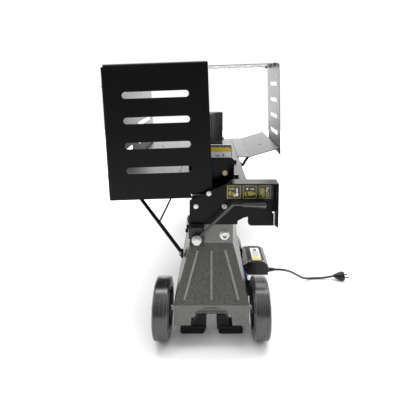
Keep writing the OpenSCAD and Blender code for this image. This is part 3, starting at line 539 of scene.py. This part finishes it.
BEAM_HALF, BEAM_TOP, BEAM_LOW, DECK_TOP = 0.060, 0.439, 0.349, 0.445
NEAR_END, FAR_END = -0.4715, 0.5845
beads = bmesh.new()
for s in (-1, 1):
    for k in range(7):
        start = -0.44 + k * 0.155
        stop = start + 0.06
        weld(beads, (s * BEAM_HALF, start, BEAM_TOP - 0.001), (s * BEAM_HALF, stop, BEAM_TOP - 0.001))
    for y in (NEAR_END, FAR_END):
        weld(beads, (s * BEAM_HALF, y, BEAM_LOW + 0.004), (s * BEAM_HALF, y, BEAM_TOP - 0.004))
    weld(beads, (s * 0.0605, 0.368, DECK_TOP + 0.001), (s * 0.0605, 0.542, DECK_TOP + 0.001))
    weld(beads, (s * 0.058, 0.499, BEAM_LOW - 0.001), (s * 0.058, 0.549, BEAM_LOW - 0.001))
    weld(beads, (s * 0.071, -0.41, DECK_TOP + 0.001), (s * 0.071, -0.25, DECK_TOP + 0.001), radius=0.002)
for x in (-0.036, 0.036):
    weld(beads, (x, 0.499, DECK_TOP + 0.012), (x, 0.499, DECK_TOP + 0.11), radius=0.0028)
weld(beads, (-0.05, 0.4995, BEAM_LOW - 0.001), (0.05, 0.4995, BEAM_LOW - 0.001))
link("weld_beads", finish_mesh("weld_beads", beads, 60), "frame", WELD)

# ---- Raised ribs on the leg -------------------------------------------------------------------


def leg_front(z):
    """The leg's sloping front face at a height."""
    return -0.485 - (0.290 - z) / 0.160 * 0.070


RIB_LOW, RIB_HIGH, RIB_PROUD = 0.145, 0.27, 0.0012
ribs = bmesh.new()
for s in (-1, 0, 1):
    low = Vector((s * 0.08, leg_front(RIB_LOW) - RIB_PROUD, RIB_LOW))
    high = Vector((s * 0.042, leg_front(RIB_HIGH) - RIB_PROUD, RIB_HIGH))
    tube(ribs, [low.lerp(high, k / 8) for k in range(9)], 0.0036, 12)
# The ribs take a paler copy of the leg's hammered grey: a painted highlight along the ridges.
link("leg_ribs", finish_mesh("leg_ribs", ribs, 60), "frame",
     hammered("hammered_painted_highlight", [0.3, 0.3, 0.28], 0.4))

# ---- Small fittings --------------------------------------------------------------------------


def fittings(name, slot, body, build, material=None):
    """A piece whose shape a function adds to an empty bmesh, in its slot's material unless given."""
    bm = bmesh.new()
    build(bm)
    return link(name, finish_mesh(name, bm), body, material or MATERIALS[slot])


def screw(bm, at, direction, r=0.0035):
    """A pan head with a cross on it, which stands 0.08 mm proud."""
    h, cross, sunk = 0.0018, 0.0001, 0.00002
    place = facing(direction, at)
    dome = [(r * 0.86, h * 0.75), (r * 0.55, h * 0.97), (r * 0.2, h)]
    turned(bm, [(0, 0), (r, 0), (r, h * 0.35), *dome, (0, h)], place, 20)
    for turn in (0, 90):
        spin = Matrix.Rotation(math.radians(turn), 4, "Z")
        bar = rounded(r * 1.1, r * 0.24, r * 0.1)
        add_plate(bm, bar, cross, place @ spin @ Matrix.Translation((0, 0, h - sunk)))


def lid_screws(bm):
    """Four screws on the lid's top and two on the box's side."""
    for x in (0.138, 0.1885):
        for y in (-0.307, -0.193):
            screw(bm, (x, y, BOX_TOP), (0, 0, 1))
    for y in (-0.3, -0.2):
        screw(bm, (BOX_SIDE, y, 0.0955), (1, 0, 0), 0.003)


fittings("lid_screws", "zinc_plate", "frame", lid_screws)


def box_ribs(bm):
    """Two long ribs on the switch box's side, and a collar round each button."""
    for z in (0.091, 0.1165):
        place = facing((1, 0, 0), (BOX_SIDE, BOX_MID_Y, z))
        add_plate(bm, rounded(0.126, 0.0022, 0.0008), 0.0012, place, 0.0004)
    collar = [(0.0096, 0), (0.0128, 0), (0.0128, 0.0016), (0.0118, 0.0024), (0.0104, 0.0024),
              (0.0096, 0.0016), (0.0096, 0)]
    for y in (-0.262, -0.232):
        turned(bm, collar, facing((1, 0, 0), (BOX_SIDE, y, 0.104)), 40)


fittings("box_ribs", "black_plastic", "frame", box_ribs)


def filler(bm):
    """The tank's filler cap and breather, with a knurled rim."""
    place = Matrix.Translation((-0.035, -0.33, 0.5205)) @ Matrix.Rotation(math.radians(-14), 4, "X")
    turned(bm, [(0, -0.004), (0.021, -0.004), (0.021, 0.004), (0.017, 0.005), (0.017, 0.012),
                (0.0155, 0.0145), (0.009, 0.0155), (0, 0.0155)], place, 40)
    ridges = 24
    for k in range(ridges):
        spin = Matrix.Rotation(2 * math.pi * k / ridges, 4, "Z")
        stand = place @ spin @ Matrix.Translation((0, 0, 0.005))
        add_plate(bm, rounded(0.0012, 0.0016, 0.0004, 0.0172, 0), 0.008, stand)


fittings("tank_filler", "black_plastic", "frame", filler)


def tank_seams(bm):
    """A rolled seam round the tank's near face."""
    half, top, r, y = 0.0712, 0.5412, 0.012, -0.4148
    points = [(-half, y, 0.447)]
    for turn in range(180, 89, -15):
        a = math.radians(turn)
        points.append((-half + r + r * math.cos(a), y, top - r + r * math.sin(a)))
    points += [(-x, y, z) for x, y, z in reversed(points)]
    tube(bm, points, 0.0016, 8)


fittings("tank_seams", "black_paint", "frame", tank_seams)


def pivot_nut(bm):
    """The chamfered nut on the lever's pivot, with its washer. It encloses the CAD hex."""
    place = facing((0, -1, 0), (-0.044, -0.524, 0.316))
    turned(bm, [(0, 0), (0.0146, 0), (0.0146, 0.0014), (0.0142, 0.0018), (0, 0.0018)], place, 48)
    turned(bm, [(0, 0.0015), (0.0133, 0.0015), (0.0133, 0.0099), (0.0118, 0.0108), (0.0045, 0.0109),
                (0, 0.0103)], place, 6)


fittings("pivot_nut", "zinc_plate", "lever", pivot_nut)


def painted_shade_sheet(bm):
    """A dark sheet with two bolts on the leg's left side wall by the collar: a painted shade where that
    wall lies in shadow.
    """
    near_x, near_y, depth = -0.066, -0.485, 0.075
    inner, outer = 0.0008, 0.0036
    outline = [(-0.484, 0.292), (-0.424, 0.292), (-0.424, 0.347), (-0.484, 0.347)]
    verts = []
    for proud in (inner, outer):
        for y, z in outline:
            far_x = -0.083 + (z - 0.29) / 0.059 * 0.005
            x = near_x + (far_x - near_x) * (y - near_y) / depth - proud
            verts.append(bm.verts.new((x, y, z)))
    for ring in ((0, 1, 2, 3), (4, 5, 6, 7), (0, 1, 5, 4), (1, 2, 6, 5), (2, 3, 7, 6), (3, 0, 4, 7)):
        bm.faces.new([verts[k] for k in ring])
    for y, z in ((-0.466, 0.334), (-0.44, 0.31)):
        x = near_x - 0.0145 * (y - near_y) / depth - outer
        turned(bm, [(0, -0.001), (0.0065, -0.001), (0.0065, 0.0012), (0.0058, 0.0012), (0.0058, 0.0048),
                    (0, 0.0052)], facing((-1, 0, 0), (x, y, z)), 6)


fittings("collar_painted_shade_sheet", "black_paint", "frame", painted_shade_sheet)


def grip_rings(bm):
    """Five raised rings round the near end of the lever's grip."""
    for k in range(5):
        x = 0.1 + k * 0.006
        r = 0.0074 + 0.0004 * k
        turned(bm, [(r, 0), (r + 0.0006, 0.0006), (r + 0.0006, 0.0018), (r, 0.0024)],
               facing((1, 0, 0), (x, -0.517, 0.423)), 28)


fittings("grip_rings", "black_plastic", "lever", grip_rings, GRIP)


def strut_bolts(bm):
    """The bolt at the foot of the guard's strut."""
    place = facing((-1, 0, 0), (-0.098, -0.44, 0.233))
    turned(bm, [(0, 0), (0.009, 0), (0.009, 0.0015), (0.0075, 0.0016), (0.0075, 0.0055),
                (0.006, 0.0065), (0, 0.0065)], place, 6)


fittings("strut_bolts", "zinc_plate", "frame", strut_bolts)


WHEEL_X, WHEEL_Y, WHEEL_Z, TYRE_HALF = 0.149, -0.503, 0.09, 0.0229


def sidewalls(bm, x):
    """Raised rings on both walls of a tyre, and the bead at the rim."""
    for s in (-1, 1):
        place = facing((s, 0, 0), (x + s * TYRE_HALF, WHEEL_Y, WHEEL_Z))
        for r, w in ((0.0805, 0.0012), (0.073, 0.0008), (0.066, 0.0014)):
            ring = [(r - w, -0.0003), (r - w * 0.6, 0.0007), (r + w * 0.6, 0.0007), (r + w, -0.0003)]
            turned(bm, ring, place, 72)


for side, x in (("left", -WHEEL_X), ("right", WHEEL_X)):
    fittings(side + "_sidewall_rings", "tyre_rubber", side + "_wheel", lambda bm: sidewalls(bm, x))


def plug_grip(bm):
    """Finger ridges round the plug's cone."""
    for k in range(5):
        h = 0.006 + 0.004 * k
        r = 0.007 + 0.009 * h / 0.026
        turned(bm, [(r - 0.0004, 0), (r + 0.0007, 0.0005), (r + 0.0007, 0.0015), (r - 0.0004, 0.002)],
               facing((1, 0, 0), (0.487 + h, -0.2, 0.017)), 32)


fittings("plug_grip", "black_plastic", "frame", plug_grip)


def fan_screws(bm):
    """Four screws round the fan cover, square to its wall."""
    motor_x, motor_z, radius = 0.070, 0.080, 0.0582
    for k in range(4):
        a = math.radians(45 + 90 * k)
        x = motor_x + radius * math.cos(a)
        z = motor_z + radius * math.sin(a)
        screw(bm, (x, -0.09, z), (math.cos(a), 0, math.sin(a)), 0.0034)


fittings("fan_screws", "zinc_plate", "frame", fan_screws)

# ---- Floor and light -------------------------------------------------------------------------

bm = bmesh.new()
bmesh.ops.create_grid(bm, x_segments=1, y_segments=1, size=4.3)
floor_mesh = bpy.data.meshes.new("floor")
bm.to_mesh(floor_mesh)
bm.free()
floor = bpy.data.objects.new("floor", floor_mesh)
floor.location = (0, 0, -0.0005)
bpy.context.scene.collection.objects.link(floor)
ground = Shader("floor", 0.75)
mottle = ground.spread(ground.noise(3.0), 0.0, 1.0)
ground.colour(ground.mix(mottle, [0.92, 0.92, 0.92], [0.945, 0.945, 0.94]))
floor_mesh.materials.append(ground.material)

world = bpy.data.worlds.new("studio")
bpy.context.scene.world = world
world.use_nodes = True
tree = world.node_tree
backdrop = tree.nodes["Background"]
backdrop.inputs["Color"].default_value = (1, 1, 1, 1)
BEHIND_CAMERA, AROUND = 0.3, 1.1
direction = tree.nodes.new("ShaderNodeSeparateXYZ")
tree.links.new(tree.nodes.new("ShaderNodeTexCoord").outputs["Generated"], direction.inputs[0])
slope = tree.nodes.new("ShaderNodeMath")
slope.operation = "MULTIPLY_ADD"
tree.links.new(direction.outputs["Z"], slope.inputs[0])
slope.inputs[1].default_value = 0.6
tree.links.new(direction.outputs["Y"], slope.inputs[2])
around = tree.nodes.new("ShaderNodeMapRange")
around.interpolation_type = "SMOOTHSTEP"
for key, value in (("From Min", -0.85), ("From Max", 0.15), ("To Min", BEHIND_CAMERA), ("To Max", AROUND)):
    around.inputs[key].default_value = value
tree.links.new(slope.outputs[0], around.inputs["Value"])
seen = tree.nodes.new("ShaderNodeMix")
tree.links.new(tree.nodes.new("ShaderNodeLightPath").outputs["Is Camera Ray"], seen.inputs[0])
tree.links.new(around.outputs["Result"], seen.inputs[2])
seen.inputs[3].default_value = 1.0
tree.links.new(seen.outputs[0], backdrop.inputs["Strength"])
bpy.context.scene.view_settings.view_transform = "Standard"


def softbox(name, at, aim, width, height, radiance):
    """A rectangular light of a given brightness, not seen by the camera."""
    lamp = bpy.data.lights.new(name, "AREA")
    lamp.shape = "RECTANGLE"
    lamp.size, lamp.size_y = width, height
    lamp.energy = radiance * math.pi * width * height
    holder = bpy.data.objects.new(name, lamp)
    holder.location = at
    holder.rotation_euler = (Vector(aim) - Vector(at)).to_track_quat("-Z", "Y").to_euler()
    holder.visible_camera = False
    bpy.context.scene.collection.objects.link(holder)


softbox("back_wall", (0, 4.5, 1.7), (0, 0, 0.8), 8.0, 3.4, 1.7)
softbox("overhead", (0, 0.6, 3.2), (0, 0.1, 0.3), 3.2, 2.4, 2.2)
softbox("key_left", (-2.6, -1.4, 2.4), (0, -0.3, 0.3), 1.2, 1.2, 3.0)
softbox("fill_right", (3.0, 0.3, 1.6), (0, 0, 0.4), 1.6, 1.8, 2.6)
softbox("top_strip", (0, -0.35, 2.6), (0, -0.35, 0.0), 2.4, 0.8, 4.5)
